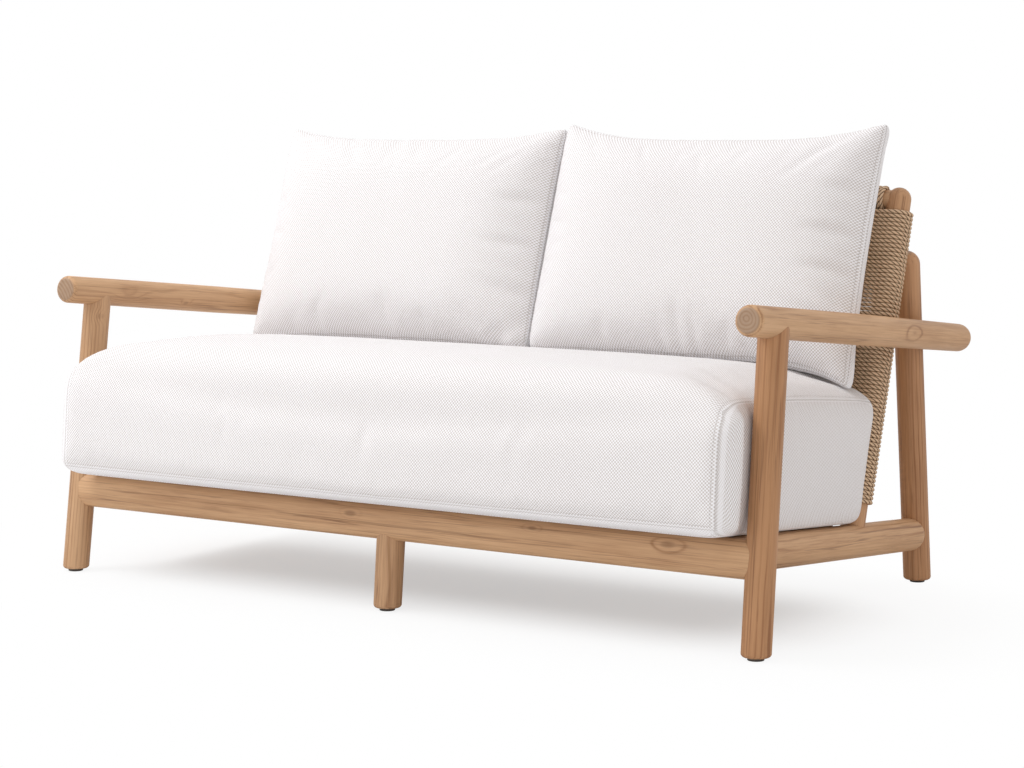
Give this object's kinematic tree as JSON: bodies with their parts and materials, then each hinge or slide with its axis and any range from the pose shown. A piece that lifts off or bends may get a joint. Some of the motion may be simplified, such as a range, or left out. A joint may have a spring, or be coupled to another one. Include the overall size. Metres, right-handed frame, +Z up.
{
  "type": "patio loveseat",
  "caption": "Outdoor loveseat with a round-member teak frame, sloping armrests, a back wound with laid rope, a thick bench seat cushion and loose back cushions in pale woven fabric.",
  "frame": {"origin": "middle of the centre foot's glide, on the floor", "axes": "X to the viewer's right along the sofa's length, Y from the front to the back, Z up"},
  "size_m": [1.5349, 0.9309, 0.8612],
  "materials": {
    "teak": "oiled straight-grained teak",
    "rope": "three-strand laid rope, matte",
    "steel": "plain",
    "glide": "matte",
    "cover": "woven outdoor cloth, ivory with a grey-beige fleck"
  },
  "bodies": {
    "frame": {"armrest_left": "teak", "armrest_right": "teak", "front_leg_left": "teak", "front_leg_right": "teak", "rear_leg_left": "teak", "rear_leg_right": "teak", "centre_leg": "teak", "side_rail_left": "teak", "side_rail_right": "teak", "front_rail": "teak", "rear_rail": "teak", "seat_cleat_left": "teak", "seat_cleat_right": "teak", "centre_bearer": "teak", "seat_slat_1": "teak", "seat_slat_2": "teak", "seat_slat_3": "teak", "seat_slat_4": "teak", "seat_slat_5": "teak", "seat_slat_6": "teak", "back_stile_left": "teak", "back_stile_right": "teak", "back_top_rail": "teak", "back_bottom_rail": "teak", "joint_dowels": "teak", "bolt_plugs": "teak", "back_rope_1": "rope", "back_rope_2": "rope", "back_rope_3": "rope", "back_rope_4": "rope", "top_rope_left": "rope", "top_rope_right": "rope", "top_rope_middle": "rope", "frame_bolts": "steel", "slat_screws": "steel", "foot_glide_front_left": "glide", "foot_glide_front_right": "glide", "foot_glide_centre": "glide", "foot_glide_rear_left": "glide", "foot_glide_rear_right": "glide"},
    "seat_cushion": {"seat_cushion": "cover"},
    "back_cushion_left": {"back_cushion_left": "cover"},
    "back_cushion_right": {"back_cushion_right": "cover"}
  },
  "joints": [
    {"name": "seat_cushion_out", "type": "slide", "parent": "frame", "child": "seat_cushion", "axis": [0, -0.9959, 0.0899], "range_m": [0, 0.65]},
    {"name": "back_cushion_left_up", "type": "slide", "parent": "frame", "child": "back_cushion_left", "axis": [0, 0.298, 0.9546], "range_m": [0, 0.48]},
    {"name": "back_cushion_right_up", "type": "slide", "parent": "frame", "child": "back_cushion_right", "axis": [0, 0.298, 0.9546], "range_m": [0, 0.48]}
  ]
}
